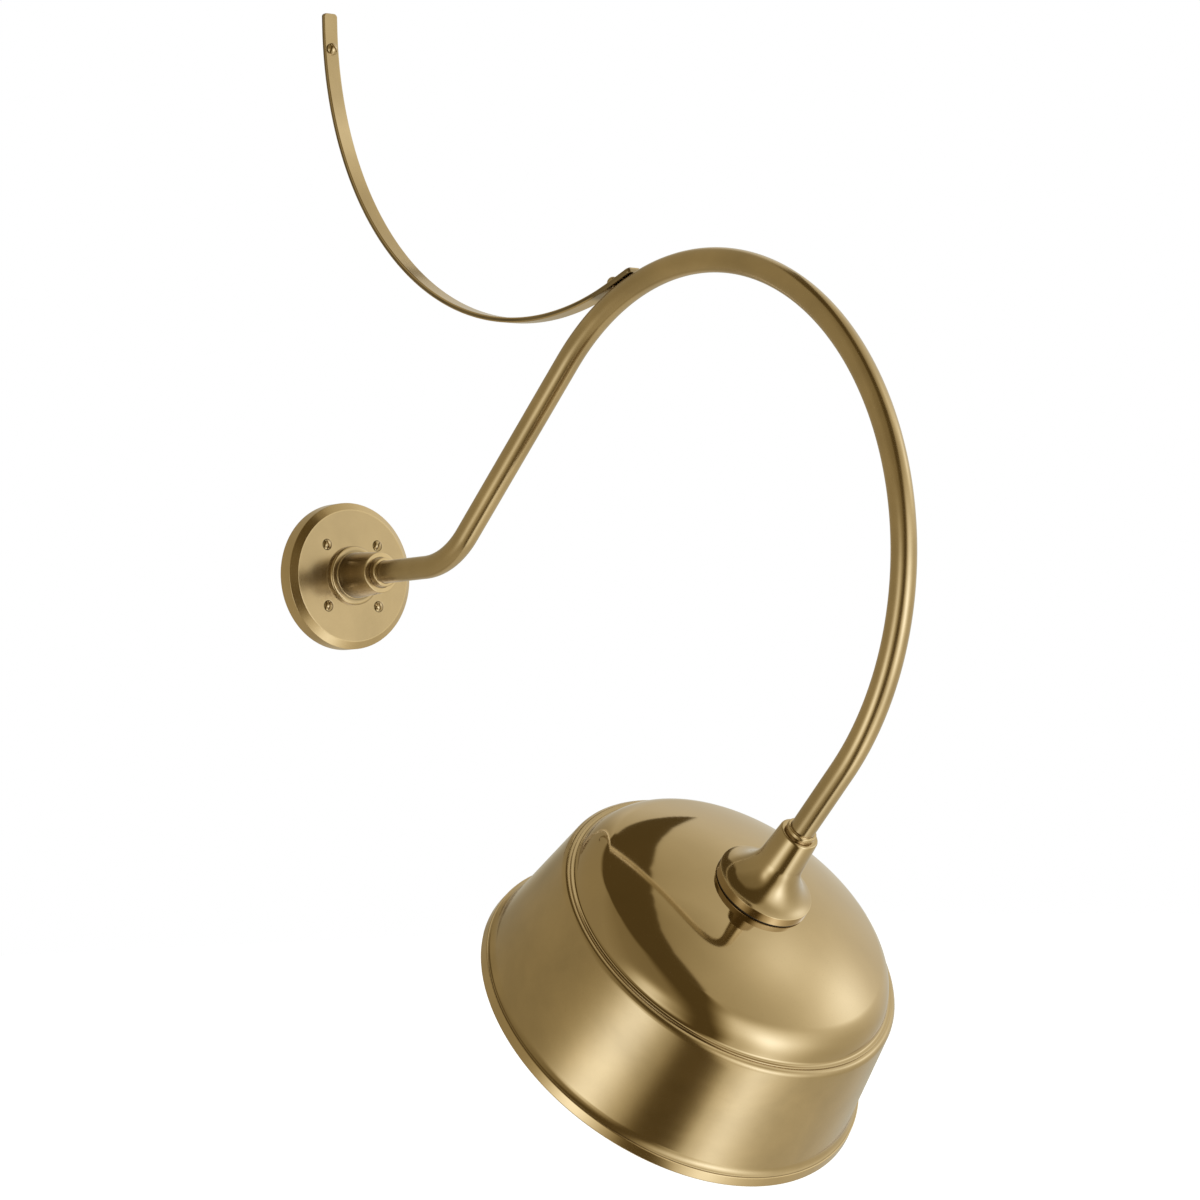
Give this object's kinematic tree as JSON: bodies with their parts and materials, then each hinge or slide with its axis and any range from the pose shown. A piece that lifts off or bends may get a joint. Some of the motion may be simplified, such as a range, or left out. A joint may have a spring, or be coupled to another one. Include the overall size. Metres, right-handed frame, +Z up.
{
  "type": "gooseneck wall sconce",
  "caption": "Wall light with a bent tube arm from a round plate, a curved flat stay above it, and a spun metal shade that points down and back at the wall.",
  "frame": {"origin": "middle of the wall plate's back, on the wall", "axes": "+Y into the wall, -Y out into the room, +Z up, +X to the right seen from the room; arm, stay and shade axis lie in the plane x = 0"},
  "size_m": [0.3188, 0.701, 0.9652],
  "materials": {
    "satin_brass": "antique brass, satin, lacquered",
    "mirror_brass": "antique brass, polished, lacquered",
    "brushed_brass": "antique brass, brushed round the shade",
    "screw_brass": "brass screws, tumbled",
    "zinc_steel": "zinc plated steel",
    "green_steel": "green bonding screw",
    "gasket_rubber": "black rubber, matt",
    "cap_metal": "drawn aluminium cap",
    "porcelain": "glazed white porcelain",
    "contact_brass": "bright brass contacts",
    "black_insulation": "black lead insulation",
    "white_insulation": "white lead insulation",
    "green_insulation": "green lead insulation",
    "connector_plastic": "twist-on connector plastic"
  },
  "bodies": {
    "root": {"wall_plate": "satin_brass", "arm_hub": "satin_brass", "hub_collar": "satin_brass", "arm_tube": "satin_brass", "fitter_collar": "satin_brass", "shade_fitter": "satin_brass", "stay_strap": "satin_brass", "shade_dome": "mirror_brass", "shade_skirt": "brushed_brass", "plate_screws": "screw_brass", "stay_wall_screw": "screw_brass", "stay_arm_screw": "screw_brass", "mounting_disc": "zinc_steel", "hub_nipple": "zinc_steel", "hub_washer": "zinc_steel", "hub_locknut": "zinc_steel", "fitter_nipple": "zinc_steel", "fitter_washer": "zinc_steel", "fitter_locknut": "zinc_steel", "lampholder_screws": "zinc_steel", "ground_screw": "green_steel", "fitter_gasket": "gasket_rubber", "lampholder_cap": "cap_metal", "lampholder_body": "porcelain", "screw_shell": "contact_brass", "centre_contact": "contact_brass", "live_lead": "black_insulation", "neutral_lead": "white_insulation", "ground_lead": "green_insulation", "wire_nuts": "connector_plastic"}
  },
  "joints": []
}
